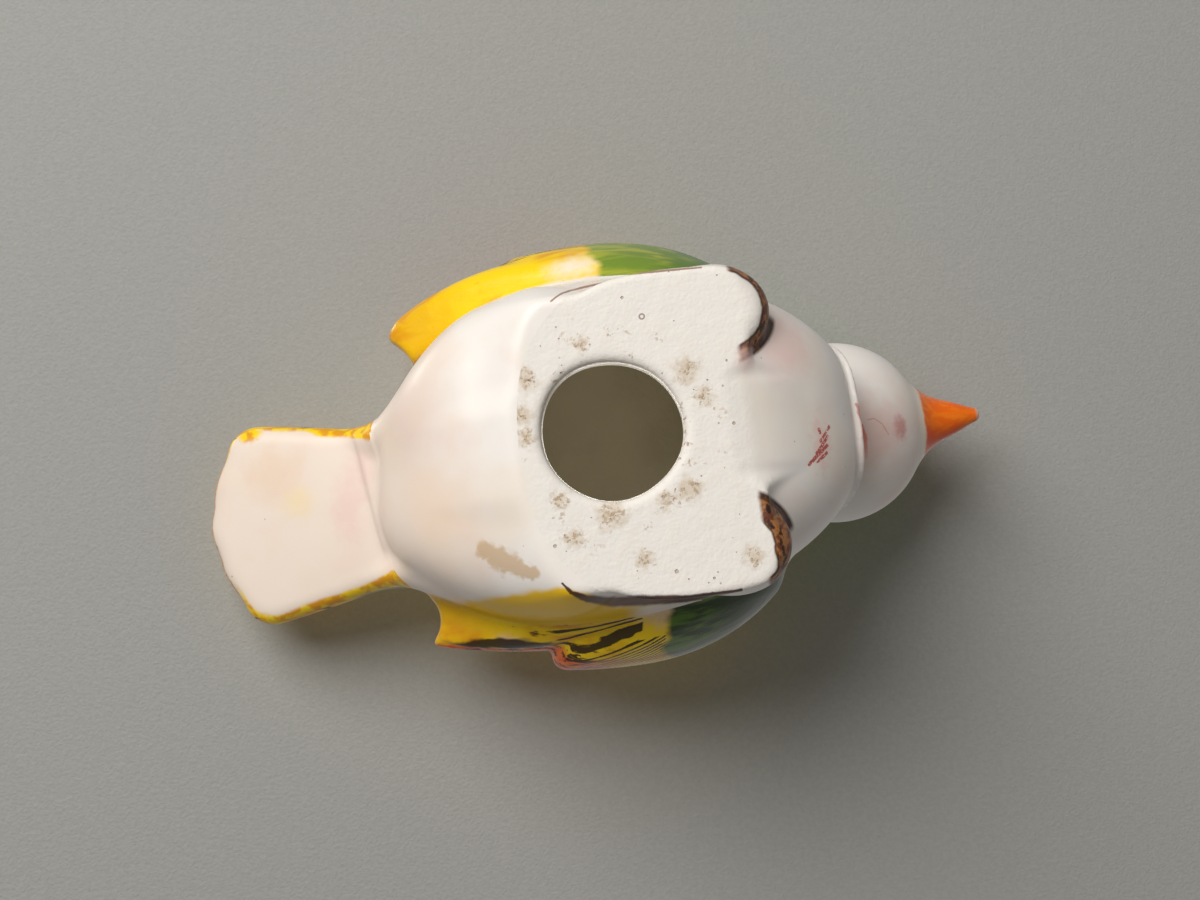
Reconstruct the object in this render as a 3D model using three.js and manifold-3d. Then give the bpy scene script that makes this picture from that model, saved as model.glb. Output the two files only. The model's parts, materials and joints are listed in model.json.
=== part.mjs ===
// A hollow, slip-cast porcelain bird that stands on a flat, ground foot.
// Frame: +X towards the beak, +Y the bird's left, +Z up, millimetres, resting on z = 0.
// The castings are separate nodes that meet at slip joints: body, foot pad, head, beak, tail, two wings.
import * as THREE from 'three';
import { mergeVertices } from 'three/addons/utils/BufferGeometryUtils.js';
import Module from 'manifold-3d';

const wasm = await Module();
wasm.setup();

// ---- Driving dimensions ----
const JOINT_GAP = 0.3; // slip joint between two castings
const WALL = 2.8; // wall of the body and head castings

// The body is an egg: a round back over a squarer, flat-bottomed belly.
const BODY = { centreX: -1, centreZ: 24, rear: 33, front: 38.3, width: 23.5, top: 22.5, bottom: 27 };
const ROUND_SECTION = 2; // exponent of the section above the egg's middle
const SQUARE_SECTION = 3.3; // exponent of the section below it

const NECK = { x: 22.5, z: 37, radius: 14.2 };
const HEAD = { x: 35, z: 40.3, radius: 13.4 };
// The collar, where the head is luted on.
const SEAM = { x: 31.6, z: 38.2, lean: THREE.MathUtils.degToRad(22) };

const BEAK = { z: 41, length: 13.4, tipX: 57.1, droop: THREE.MathUtils.degToRad(4) };
const BEAK_PROFILE = [ // radius, and share of the beak's length from its root
  [5.9, 0],
  [4.32, 0.35],
  [2.27, 0.72],
  [0.6, 0.97],
];

const PAD = {
  thickness: 3, bevel: 0.6, halfWidth: 22.1, shiftY: 0.5,
  rear: -12, sideRear: -5, front: 22, toe: 25.2, toeInner: 9.5, rounding: 2,
};
const VENT = { x: 1.9, y: -0.9, radius: 9.3 };

const TAIL = {
  rootX: -26, rootHalfWidth: 9, waistX: -36, waistHalfWidth: 11.2,
  endX: -52.5, endHalfWidth: 13.6, crownX: -56.45,
  thickness: 2.6, bevel: 1.2, cornerRadius: 3, shiftY: 3.6, z: 21.5, rise: THREE.MathUtils.degToRad(13),
};

// The wing is cut from two eggs a little larger than the body: long flight feathers, and coverts over them.
// The left wing's flight feathers lie flatter than the right's, so its coverts make a deeper step.
const WING_EGG = { centreX: 1, centreZ: 27, rear: 42, front: 30.5, width: 30.4, top: 18.5, bottom: 25 };
const LEFT_FLIGHT = { rear: 55, width: 27.2 };
const RIGHT_FLIGHT = { rear: 42, width: 30 };
const WING_REACH = 40; // how far out a wing's outline is extruded before it is cut from its egg

// Outlines in the side view, [x, z]: the start, then one curve a row, its control points and its end.
const FLIGHT_OUTLINE = {
  start: [-29, 29],
  curves: [
    [-20, 37, -4, 42, 8, 41], // upper edge, along the back
    [20, 40, 26, 33, 25, 25], // shoulder
    [24, 14, 12, 8, 2, 10], // under the shoulder
    [-8, 12, -20, 17, -27, 24], // lower edge
    [-29, 26, -30, 28, -29, 29], // tip
  ],
};
const COVERT_OUTLINE = {
  start: [-10, 25],
  curves: [
    [-12, 30, -11, 35, -6, 38], // rear lobe
    [0, 42, 8, 42, 12, 40], // upper edge
    [20, 38, 25, 32, 24, 25], // shoulder
    [23, 15, 13, 10, 4, 12], // under the shoulder
    [-2, 13, -8, 17, -10, 25], // lower edge
  ],
};

const HALF_SPACE_SIZE = 300;
const EGG_SEGMENTS = 36;
const EGG_RINGS = 24;
const BALL_SEGMENTS = 30;
const BALL_RINGS = 20;
const VENT_SEGMENTS = 48;
const PAD_CURVE_SEGMENTS = 14;
const BEVEL_SEGMENTS = 2;
const BEAK_SEGMENTS = 28;
const BEAK_RINGS = 10;
const TAIL_CURVE_SEGMENTS = 10;
const TAIL_BEVEL_SEGMENTS = 3;
const WING_CURVE_SEGMENTS = 9;

// ---- Solids ----
function toSolid(geometry) {
  const bare = geometry.clone();
  bare.deleteAttribute('normal');
  bare.deleteAttribute('uv');
  const merged = mergeVertices(bare, 1e-4);
  const vertProperties = new Float32Array(merged.attributes.position.array);
  const triVerts = new Uint32Array(merged.index.array);
  return new wasm.Manifold(new wasm.Mesh({ numProp: 3, vertProperties, triVerts }));
}

function toGeometry(solid) {
  const mesh = solid.getMesh();
  const geometry = new THREE.BufferGeometry();
  geometry.setAttribute('position', new THREE.BufferAttribute(new Float32Array(mesh.vertProperties), 3));
  geometry.setIndex(new THREE.BufferAttribute(new Uint32Array(mesh.triVerts), 1));
  geometry.computeVertexNormals();
  return geometry;
}

function signedPower(value, exponent) {
  return Math.sign(value) * Math.abs(value) ** exponent;
}

// An egg lying along X: a sphere stretched by its own lengths fore and aft, above and below.
function eggSolid(shape, swell = 0, lowerExponent = SQUARE_SECTION) {
  const geometry = new THREE.SphereGeometry(1, EGG_SEGMENTS, EGG_RINGS);
  geometry.rotateZ(-Math.PI / 2);
  const position = geometry.attributes.position;
  for (let i = 0; i < position.count; i += 1) {
    const along = position.getX(i);
    const across = position.getY(i);
    const upward = position.getZ(i);
    const ring = Math.hypot(across, upward) || 1;
    const exponent = 2 / (upward < 0 ? lowerExponent : ROUND_SECTION);
    const length = (along < 0 ? shape.rear : shape.front) + swell;
    const height = (upward < 0 ? shape.bottom : shape.top) + swell;
    position.setXYZ(
      i,
      shape.centreX + along * length,
      signedPower(across / ring, exponent) * ring * (shape.width + swell),
      shape.centreZ + signedPower(upward / ring, exponent) * ring * height,
    );
  }
  return toSolid(geometry);
}

function ballSolid(ball, swell = 0) {
  const geometry = new THREE.SphereGeometry(ball.radius + swell, BALL_SEGMENTS, BALL_RINGS);
  geometry.rotateZ(-Math.PI / 2);
  geometry.translate(ball.x, 0, ball.z);
  return toSolid(geometry);
}

// Everything on the far side of a plane through (x, z), whose normal leans up from +X by an angle.
function halfSpace(x, z, lean) {
  const geometry = new THREE.BoxGeometry(HALF_SPACE_SIZE, HALF_SPACE_SIZE, HALF_SPACE_SIZE);
  geometry.translate(HALF_SPACE_SIZE / 2, 0, 0);
  geometry.rotateY(-lean);
  geometry.translate(x, 0, z);
  return toSolid(geometry);
}

function above(z) {
  return halfSpace(0, z, Math.PI / 2);
}

// The half space ahead of the neck seam, set forward by an offset along its normal.
function aheadOfSeam(offset) {
  const x = SEAM.x + offset * Math.cos(SEAM.lean);
  const z = SEAM.z + offset * Math.sin(SEAM.lean);
  return halfSpace(x, z, SEAM.lean);
}

// ---- Body ----
function bodyEnvelope(swell) {
  return eggSolid(BODY, swell).add(ballSolid(NECK, swell));
}

function bodyShell() {
  const cavity = bodyEnvelope(-WALL);
  return bodyEnvelope(0)
    .subtract(aheadOfSeam(0))
    .intersect(above(PAD.thickness + JOINT_GAP))
    .subtract(cavity);
}

// ---- Foot pad: a flat plate with two rounded toe lobes in front and the vent hole through it ----
function padOutline() {
  const shape = new THREE.Shape();
  const { halfWidth, rear, sideRear, front, toe, toeInner, rounding } = PAD;
  const half = rounding / 2;
  const inner = halfWidth - rounding;
  shape.moveTo(front, -toeInner);
  shape.bezierCurveTo(toe, -toeInner - half, toe + rounding, -inner, front - rounding, -halfWidth);
  shape.lineTo(sideRear, -halfWidth + half);
  shape.bezierCurveTo(rear + rounding, -inner, rear, -toeInner, rear, 0);
  shape.bezierCurveTo(rear, toeInner, rear + rounding, inner, sideRear, halfWidth - half);
  shape.lineTo(front - rounding, halfWidth);
  shape.bezierCurveTo(toe + rounding, inner, toe, toeInner + half, front, toeInner);
  shape.closePath();
  return shape;
}

function ventSolid() {
  const geometry = new THREE.CylinderGeometry(VENT.radius, VENT.radius, 4 * PAD.thickness, VENT_SEGMENTS);
  geometry.rotateX(Math.PI / 2);
  geometry.translate(VENT.x, VENT.y, PAD.thickness / 2);
  return toSolid(geometry);
}

function footPad() {
  const { thickness, bevel, shiftY } = PAD;
  const slab = new THREE.ExtrudeGeometry(padOutline(), {
    depth: thickness - bevel,
    bevelThickness: bevel,
    bevelSize: bevel,
    bevelOffset: -bevel,
    bevelSegments: BEVEL_SEGMENTS,
    curveSegments: PAD_CURVE_SEGMENTS,
  });
  slab.translate(0, shiftY, bevel);
  return toSolid(slab)
    .add(eggSolid(BODY))
    .intersect(above(0))
    .subtract(above(thickness))
    .subtract(ventSolid());
}

// ---- Head and beak ----
function headShell() {
  return ballSolid(HEAD).intersect(aheadOfSeam(JOINT_GAP)).subtract(ballSolid(HEAD, -WALL));
}

function beakSolid() {
  const stations = BEAK_PROFILE.map(([radius, share]) => new THREE.Vector2(radius, BEAK.length * share));
  const profile = new THREE.SplineCurve(stations).getPoints(BEAK_RINGS);
  const outline = [new THREE.Vector2(0, 0), ...profile, new THREE.Vector2(0, BEAK.length)];
  const geometry = new THREE.LatheGeometry(outline, BEAK_SEGMENTS);
  geometry.rotateZ(-Math.PI / 2);
  geometry.translate(-BEAK.length, 0, 0);
  geometry.rotateY(BEAK.droop);
  geometry.translate(BEAK.tipX, 0, BEAK.z);
  return toSolid(geometry).subtract(ballSolid(HEAD, JOINT_GAP));
}

// ---- Tail: a fan-shaped paddle that rises a little to the rear ----
function tailOutline() {
  const { rootX, rootHalfWidth, waistX, waistHalfWidth, endX, endHalfWidth, crownX, cornerRadius } = TAIL;
  const cornerX = endX + cornerRadius;
  const cornerY = endHalfWidth - cornerRadius;
  const shape = new THREE.Shape();
  shape.moveTo(rootX, -rootHalfWidth);
  shape.quadraticCurveTo(waistX, -waistHalfWidth, cornerX, -endHalfWidth);
  shape.quadraticCurveTo(endX, -endHalfWidth, endX, -cornerY);
  shape.quadraticCurveTo(crownX, -endHalfWidth / 2, crownX, 0);
  shape.quadraticCurveTo(crownX, endHalfWidth / 2, endX, cornerY);
  shape.quadraticCurveTo(endX, endHalfWidth, cornerX, endHalfWidth);
  shape.quadraticCurveTo(waistX, waistHalfWidth, rootX, rootHalfWidth);
  shape.closePath();
  return shape;
}

function tailSolid() {
  const geometry = new THREE.ExtrudeGeometry(tailOutline(), {
    depth: TAIL.thickness,
    bevelThickness: TAIL.bevel,
    bevelSize: TAIL.bevel,
    bevelOffset: 0,
    bevelSegments: TAIL_BEVEL_SEGMENTS,
    curveSegments: TAIL_CURVE_SEGMENTS,
  });
  geometry.translate(-TAIL.rootX, TAIL.shiftY, -TAIL.thickness / 2);
  geometry.rotateY(TAIL.rise);
  geometry.translate(TAIL.rootX, 0, TAIL.z);
  return toSolid(geometry).subtract(eggSolid(BODY, JOINT_GAP));
}

// ---- Wings: leaves of the swollen egg, their rear tips standing free of the body ----
function curvedOutline(outline) {
  const shape = new THREE.Shape();
  shape.moveTo(...outline.start);
  for (const curve of outline.curves) {
    shape.bezierCurveTo(...curve);
  }
  return shape;
}

// An outline drawn in the side view, extruded outwards from the body's middle plane.
function sidePrism(outline, side) {
  const shape = curvedOutline(outline);
  const geometry = new THREE.ExtrudeGeometry(shape, {
    depth: WING_REACH,
    bevelEnabled: false,
    curveSegments: WING_CURVE_SEGMENTS,
  });
  geometry.rotateX(Math.PI / 2);
  geometry.translate(0, side > 0 ? WING_REACH : 0, 0);
  return toSolid(geometry);
}

function wingSolid(side) {
  const feathers = side > 0 ? LEFT_FLIGHT : RIGHT_FLIGHT;
  const flight = eggSolid({ ...WING_EGG, ...feathers }, 0, ROUND_SECTION);
  const coverts = eggSolid(WING_EGG, 0, ROUND_SECTION);
  return flight
    .intersect(sidePrism(FLIGHT_OUTLINE, side))
    .add(coverts.intersect(sidePrism(COVERT_OUTLINE, side)))
    .subtract(bodyEnvelope(JOINT_GAP));
}

// ---- Assembly ----
const GLAZE_WHITE = { color: '#efe6da', roughness: 0.2, metalness: 0 };
const BISCUIT_WHITE = { color: '#f0e8dc', roughness: 0.6, metalness: 0 };
const TAIL_CREAM = { color: '#e9d3bd', roughness: 0.2, metalness: 0 };
const WING_YELLOW = { color: '#f4cc0e', roughness: 0.2, metalness: 0 };
const BEAK_ORANGE = { color: '#f27a1c', roughness: 0.25, metalness: 0 };

function piece(name, solid, finish) {
  const mesh = new THREE.Mesh(toGeometry(solid), new THREE.MeshStandardMaterial(finish));
  mesh.name = name;
  return mesh;
}

const bird = new THREE.Group();
bird.add(piece('body_shell', bodyShell(), GLAZE_WHITE));
bird.add(piece('foot_pad', footPad(), BISCUIT_WHITE));
bird.add(piece('head_shell', headShell(), GLAZE_WHITE));
bird.add(piece('beak', beakSolid(), BEAK_ORANGE));
bird.add(piece('tail', tailSolid(), TAIL_CREAM));
bird.add(piece('wing_left', wingSolid(1), WING_YELLOW));
bird.add(piece('wing_right', wingSolid(-1), WING_YELLOW));

export default bird;
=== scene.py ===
"""Looks of the porcelain bird: one smooth glazed surface, split along its slip joints, and its paint.

Shapes are signed fields in millimetres, negative inside. Their main sizes come from the CAD nodes' boxes.
"""

import json
import math

import bpy
import numpy as np
from mathutils import Matrix, Vector


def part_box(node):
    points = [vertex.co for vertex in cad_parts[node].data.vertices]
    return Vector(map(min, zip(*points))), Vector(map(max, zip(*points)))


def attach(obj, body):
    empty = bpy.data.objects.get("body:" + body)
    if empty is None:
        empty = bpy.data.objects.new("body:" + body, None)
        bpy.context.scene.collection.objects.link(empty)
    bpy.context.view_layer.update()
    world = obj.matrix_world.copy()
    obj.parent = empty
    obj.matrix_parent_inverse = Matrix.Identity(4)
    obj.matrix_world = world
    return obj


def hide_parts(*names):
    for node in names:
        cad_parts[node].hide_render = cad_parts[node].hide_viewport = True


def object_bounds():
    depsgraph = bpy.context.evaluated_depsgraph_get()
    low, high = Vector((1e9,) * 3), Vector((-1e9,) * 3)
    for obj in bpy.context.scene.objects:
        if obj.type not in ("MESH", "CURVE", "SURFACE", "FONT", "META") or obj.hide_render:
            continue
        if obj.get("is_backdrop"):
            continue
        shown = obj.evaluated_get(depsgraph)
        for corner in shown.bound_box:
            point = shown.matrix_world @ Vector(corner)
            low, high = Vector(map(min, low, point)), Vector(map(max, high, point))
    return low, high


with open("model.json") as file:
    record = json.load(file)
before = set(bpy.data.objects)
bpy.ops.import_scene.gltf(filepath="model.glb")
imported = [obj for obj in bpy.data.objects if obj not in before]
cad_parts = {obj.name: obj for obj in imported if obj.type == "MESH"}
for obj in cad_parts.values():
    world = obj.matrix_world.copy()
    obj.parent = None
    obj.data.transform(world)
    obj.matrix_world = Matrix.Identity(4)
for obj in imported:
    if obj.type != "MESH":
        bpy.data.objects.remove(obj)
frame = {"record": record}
cad_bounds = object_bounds()

MM = 0.001
CELL = 0.5  # size of the surface's quads
RELAX_PASSES = 3
GRID_MARGIN = 3.0
LINING_CELL = 1.0


def box_mm(node):
    """A CAD node's lowest and highest corners in millimetres."""
    low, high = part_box(node)
    return np.array(low) / MM, np.array(high) / MM


BODY_LOW, BODY_HIGH = box_mm("body_shell")
HEAD_LOW, HEAD_HIGH = box_mm("head_shell")
BEAK_LOW, BEAK_HIGH = box_mm("beak")
TAIL_LOW, TAIL_HIGH = box_mm("tail")
PAD_LOW, PAD_HIGH = box_mm("foot_pad")
_, WING_HIGH = box_mm("wing_left")
VENT_LOW, VENT_HIGH = (
    np.array(corner) / MM
    for corner in next(o for o in frame["record"]["physics"]["openings"] if o["name"] == "vent_hole")["box_m"]
)

# ---- Sizes in millimetres, from the frame ----
BODY_LENGTH = BODY_HIGH[0] - BODY_LOW[0]
BODY_WIDTH = BODY_HIGH[1]
BODY_REAR = 0.463 * BODY_LENGTH
BODY_FRONT = BODY_LENGTH - BODY_REAR
BODY_X = BODY_LOW[0] + BODY_REAR
BODY_Z = 0.447 * HEAD_HIGH[2]
BODY_TOP = 22.5
BODY_BOTTOM = BODY_Z + 3.0
BELLY_SQUARENESS = 3.3
REAR_SLIM = 2.6  # how much narrower the rear is on the right than a true egg
PLAN_SQUARENESS = 2.15

HEAD_RADIUS = (HEAD_HIGH[1] - HEAD_LOW[1]) / 2
HEAD_CENTRE = np.array([HEAD_HIGH[0] - HEAD_RADIUS, 0.0, HEAD_HIGH[2] - HEAD_RADIUS])
SEAM_LEAN = math.radians(14)
SEAM_NORMAL = np.array([math.cos(SEAM_LEAN), 0.0, math.sin(SEAM_LEAN)])
SEAM_POINT = np.array([BODY_HIGH[0] - 1.0, 0.0, 18.0])  # where the collar crosses the breast
EYE_RADIUS = 1.7
EYE_RISE = 0.3
EYE_PLACE = HEAD_CENTRE + HEAD_RADIUS * np.array([0.60, 0.745, 0.30])
NECK_CENTRE = HEAD_CENTRE - np.array([12.5, 0.0, 3.3])
NECK_RADIUS = HEAD_RADIUS + 0.6

BEAK_TIP = np.array([BEAK_HIGH[0] - 1.15, 0.0, (BEAK_LOW[2] + BEAK_HIGH[2]) / 2 - 1.0])
BEAK_ROOT = BEAK_TIP - np.array([11.5, 0.0, -0.8])
BEAK_RADIUS = 4.3
BEAK_TIP_RADIUS = 1.15
BEAK_SWELL = 1.8  # over 1 makes the cone bulge
BEAK_FILLET = 3.8

TAIL_RISE = math.radians(13)
TAIL_ROOT = np.array([BODY_LOW[0] + 4.0, (TAIL_LOW[1] + TAIL_HIGH[1]) / 2, TAIL_LOW[2] + 2.9])
TAIL_LENGTH = (TAIL_ROOT[0] - TAIL_LOW[0]) / math.cos(TAIL_RISE)
TAIL_END_HALF = (TAIL_HIGH[1] - TAIL_LOW[1]) / 2 + 0.9
TAIL_ROOT_HALF = 10.4
TAIL_ROUNDING = 5.6  # how far the corners of the tail's end lie behind its middle
TAIL_SCALLOP = 0.14
TAIL_FEATHER = 5.2
TAIL_STRIP = 0.55  # height of the raised strip across the tail's root
TAIL_FRONT = -20.0  # the tail casting ends behind this x

PAD_HALF = (PAD_HIGH[1] - PAD_LOW[1]) / 2
PAD_Y = (PAD_HIGH[1] + PAD_LOW[1]) / 2
PAD_THICKNESS = PAD_HIGH[2]
PAD_WIDEST_X = 11.0
PAD_CURVE = 46.0  # a smaller number curves the foot's sides more
PAD_REAR = -10.0
TOES = (  # the middle of each toe lobe, and its half length and half width
    (PAD_HIGH[0] - 7.6, PAD_Y - 15.4, 7.6, 6.6),
    (PAD_HIGH[0] - 8.6, PAD_Y + 15.8, 7.4, 6.5),
)
TOE_HEIGHT = 4.4
TOE_LIFT = 3.1
VENT = (VENT_LOW + VENT_HIGH) / 2
VENT_RADIUS = 9.3

WING_X = 1.0
WING_Z = 27.0
WING_REAR = 42.0
WING_FRONT = 30.5
WING_HALF = WING_HIGH[1]
WING_TOP = 18.5
WING_BOTTOM = 25.0
WING_INNER = 5.0  # a wing casting starts this far from the middle
FLIGHT_THICKNESS = 7.0
FLIGHT_DROP = ((9.5, 26.0), 14.4, (-25.2, 28.8), 3.4)  # side view: two circles, each a middle and a radius
COVERT_DROP = ((10.5, 26.6), 13.6, (-2.2, 26.5), 8.4)
FLIGHT = {1: (55.0, WING_HALF - 3.2), -1: (42.0, WING_HALF - 0.4)}  # rear length and half width, by side
TIP_BITE = {1: (-29.9, 20.0, 4.2), -1: (-31.2, 15.0, 6.2)}  # the round hollow in each wing's end, in plan
WALL = 2.8
COLLAR_STEP = 1.1  # how far the throat lies inside the collar
COLLAR_BEAD = 0.75
COLLAR_GROOVE = 0.25


# ---- Signed fields ----
def smooth_min(a, b, k):
    """Union of two solids with a fillet about k wide."""
    h = np.clip(0.5 + 0.5 * (b - a) / k, 0, 1)
    return b + (a - b) * h - k * h * (1 - h)


def smooth_max(a, b, k):
    """Intersection of two solids with a rounded edge about k wide."""
    return -smooth_min(-a, -b, k)


def smooth_step(low, high, value):
    t = np.clip((value - low) / (high - low), 0, 1)
    return t * t * (3 - 2 * t)


def bump(value, centre, width):
    """A soft ridge, 1 at its centre."""
    return np.exp(-(((value - centre) / width) ** 2))


def ellipsoid(x, y, z, centre, radii):
    u, v, w = (x - centre[0]) / radii[0], (y - centre[1]) / radii[1], (z - centre[2]) / radii[2]
    near = np.sqrt(u * u + v * v + w * w) + 1e-6
    slope = np.sqrt((u / radii[0]) ** 2 + (v / radii[1]) ** 2 + (w / radii[2]) ** 2) + 1e-6
    return near * (near - 1) / slope


def egg(x, y, z, centre, rear, front, width, top, bottom, squareness=2.0):
    """An egg along X, with its own lengths fore, aft, above and below, and a squarer belly."""
    length = np.where(x < centre[0], rear, front)
    low = z < centre[1]
    height = np.where(low, bottom, top)
    power = np.where(low, squareness, 2.0)
    u = (x - centre[0]) / length
    v = np.abs(y) / width + 1e-6
    w = np.abs(z - centre[1]) / height + 1e-6
    v_power = v ** (power - 1)
    w_power = w ** (power - 1)
    section = (v_power * v + w_power * w) ** (1 / power)
    plan = PLAN_SQUARENESS
    near = (np.abs(u) ** plan + section**plan) ** (1 / plan) + 1e-6
    along = (np.abs(u) / near) ** (plan - 1) / length
    across = (section / near) ** (plan - 1) * section ** (1 - power)
    slope = np.sqrt(along**2 + (across * v_power / width) ** 2 + (across * w_power / height) ** 2)
    return (near - 1) / (slope + 1e-6)


def teardrop(u, v, big, big_radius, small, small_radius):
    """A flat drop: the hull of a big and a small circle."""
    axis = np.array(small) - np.array(big)
    length = float(np.hypot(*axis))
    axis = axis / length
    along = (u - big[0]) * axis[0] + (v - big[1]) * axis[1]
    across = np.abs((v - big[1]) * axis[0] - (u - big[0]) * axis[1])
    sine = (big_radius - small_radius) / length
    cosine = math.sqrt(1 - sine * sine)
    lean = across * cosine + along * sine
    reach = along * cosine - across * sine
    start = np.hypot(along, across) - big_radius
    end = np.hypot(along - length, across) - small_radius
    side = lean - big_radius
    return np.where(reach < 0, start, np.where(reach > length * cosine, end, side))


def egg_body(x, y, z):
    centre = (BODY_X, BODY_Z)
    body = egg(x, y, z, centre, BODY_REAR, BODY_FRONT, BODY_WIDTH, BODY_TOP, BODY_BOTTOM, BELLY_SQUARENESS)
    pressed = smooth_step(-14.0, -30.0, x) * (0.15 + 0.85 * smooth_step(13.0, -4.0, y))
    return body + REAR_SLIM * pressed


def body_field(x, y, z):
    neck = ellipsoid(x, y, z, NECK_CENTRE, (NECK_RADIUS, NECK_RADIUS, NECK_RADIUS))
    return smooth_min(egg_body(x, y, z), neck, 5.0)


def beak_field(x, y, z):
    axis = BEAK_TIP - BEAK_ROOT
    t = ((x - BEAK_ROOT[0]) * axis[0] + (z - BEAK_ROOT[2]) * axis[2]) / (axis @ axis)
    t = np.clip(t, 0, 1)
    radius = BEAK_TIP_RADIUS + (BEAK_RADIUS - BEAK_TIP_RADIUS) * (1 - t**BEAK_SWELL)
    off_x = x - BEAK_ROOT[0] - t * axis[0]
    off_z = z - BEAK_ROOT[2] - t * axis[2]
    return np.sqrt(off_x**2 + (y - BEAK_ROOT[1]) ** 2 + off_z**2) - radius


def head_field(x, y, z):
    ball = ellipsoid(x, y, z, HEAD_CENTRE, (HEAD_RADIUS, HEAD_RADIUS, HEAD_RADIUS * 0.985))
    eyes = eye_distance(x, y, z) - EYE_RADIUS
    ball = ball - EYE_RISE * smooth_step(0.35, -0.5, eyes)
    return smooth_min(ball, beak_field(x, y, z), BEAK_FILLET)


def eye_distance(x, y, z):
    return np.sqrt((x - EYE_PLACE[0]) ** 2 + (np.abs(y) - EYE_PLACE[1]) ** 2 + (z - EYE_PLACE[2]) ** 2)


def seam_offset(x, z):
    """How far a point is ahead of the neck seam's plane."""
    return (x - SEAM_POINT[0]) * SEAM_NORMAL[0] + (z - SEAM_POINT[2]) * SEAM_NORMAL[2]


def tail_frame(x, y, z):
    """Along the tail to the rear, across it, and up through it."""
    dx, dz = x - TAIL_ROOT[0], z - TAIL_ROOT[2]
    along = -dx * math.cos(TAIL_RISE) + dz * math.sin(TAIL_RISE)
    upward = dx * math.sin(TAIL_RISE) + dz * math.cos(TAIL_RISE)
    return along, y - TAIL_ROOT[1], upward


def tail_outline(along, across):
    spread = np.clip(along / TAIL_LENGTH, 0, 1)
    half = TAIL_ROOT_HALF + (TAIL_END_HALF - TAIL_ROOT_HALF) * spread**0.8
    side = np.abs(across) - half
    crown = TAIL_ROUNDING * (np.abs(across) / 14.3) ** 1.7
    scallop = TAIL_SCALLOP * np.cos(across * 2 * math.pi / 6.5)
    end = (along - TAIL_LENGTH + crown - scallop) * 0.92
    return np.maximum(smooth_max(side, end, 3.4), -along - 4.0)


def tail_field(x, y, z):
    along, across, upward = tail_frame(x, y, z)
    spread = np.clip(along / TAIL_LENGTH, -0.2, 1)
    thick = 3.1 - 1.3 * spread
    feather = np.abs(np.sin(across / (0.55 + 0.45 * spread) * math.pi / TAIL_FEATHER))
    groove = 0.28 * (1 - feather) ** 3 * smooth_step(0.1, 1.0, upward) * smooth_step(0.15, 0.5, spread)
    dish = 0.35 * (1 - (across / TAIL_END_HALF) ** 2) * smooth_step(0.3, 1.0, spread)
    strip = smooth_step(1.9, 1.3, np.abs(along - 0.6 + 0.15 * across))
    strip = strip * smooth_step(-11.5, -10.0, across) * smooth_step(8.0, 5.0, across)
    slab = np.abs(upward - 0.06 * across**2 / TAIL_END_HALF) - thick + groove
    slab = slab + (dish - TAIL_STRIP * strip) * (upward < 0)
    return smooth_max(slab, tail_outline(along, across), 2.6)


def pad_outline(x, y):
    """The ground foot in plan: curved sides, a round rear, and a straight front between the toes."""
    half = (PAD_HALF - 0.2) * (1 - ((x - PAD_WIDEST_X) / PAD_CURVE) ** 2)
    side = (np.abs(y - PAD_Y) - half) * 0.97
    rear = PAD_REAR + 6.0 * (np.abs(y - PAD_Y) / PAD_HALF) ** 2 - x
    front = x - (PAD_HIGH[0] - 3.6)
    return smooth_max(smooth_max(side, rear, 9.0), front, 3.0)


def toe_field(x, y, z):
    toes = [ellipsoid(x, y, z, (t[0], t[1], TOE_LIFT), (t[2], t[3], TOE_HEIGHT)) for t in TOES]
    return np.minimum(*toes)


def pad_field(x, y, z):
    slab = smooth_max(pad_outline(x, y), z - PAD_THICKNESS, 1.6)
    return smooth_min(slab, toe_field(x, y, z), 1.2)


def wing_field(x, y, z, side):
    """A folded wing: long flight feathers, and shorter coverts that stand a little prouder."""
    across = side * y
    centre = (WING_X, WING_Z)
    rear, width = FLIGHT[side]
    flight_out = egg(x, across, z, centre, rear, WING_FRONT, width, WING_TOP, WING_BOTTOM)
    covert_out = egg(x, across, z, centre, WING_REAR, WING_FRONT, WING_HALF, WING_TOP, WING_BOTTOM)
    flight_cut = teardrop(x, z, *FLIGHT_DROP)
    covert_cut = teardrop(x, z, *COVERT_DROP)
    quills = feather_lines(x, z)
    outer = flight_out + 0.35 * quills * smooth_step(2.0, -6.0, x)
    flight = smooth_max(smooth_max(outer, -flight_out - FLIGHT_THICKNESS, 2.0), flight_cut, 2.2)
    coverts = smooth_max(covert_out, covert_cut, 2.0)
    bite_x, bite_y, bite_radius = TIP_BITE[side]
    bite = np.hypot(x - bite_x, across - bite_y) - bite_radius
    flight = smooth_max(flight, -bite, 1.0)
    return np.maximum(smooth_min(flight, coverts, 0.8), WING_INNER - across)


def feather_lines(x, z):
    """Grooves between the flight feathers, fanning from the wing tip to the shoulder."""
    angle = np.arctan2(z - 28.6, x + 40.0)
    return (1 - np.abs(np.sin(angle * 17.0))) ** 4


def vent_field(x, y):
    angle = np.arctan2(y - VENT[1], x - VENT[0])
    wobble = 0.12 * np.sin(2 * angle + 0.8) + 0.1 * np.sin(3 * angle + 2.0) + 0.05 * np.sin(5 * angle)
    return np.hypot(x - VENT[0], y - VENT[1]) - VENT_RADIUS - wobble


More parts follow.
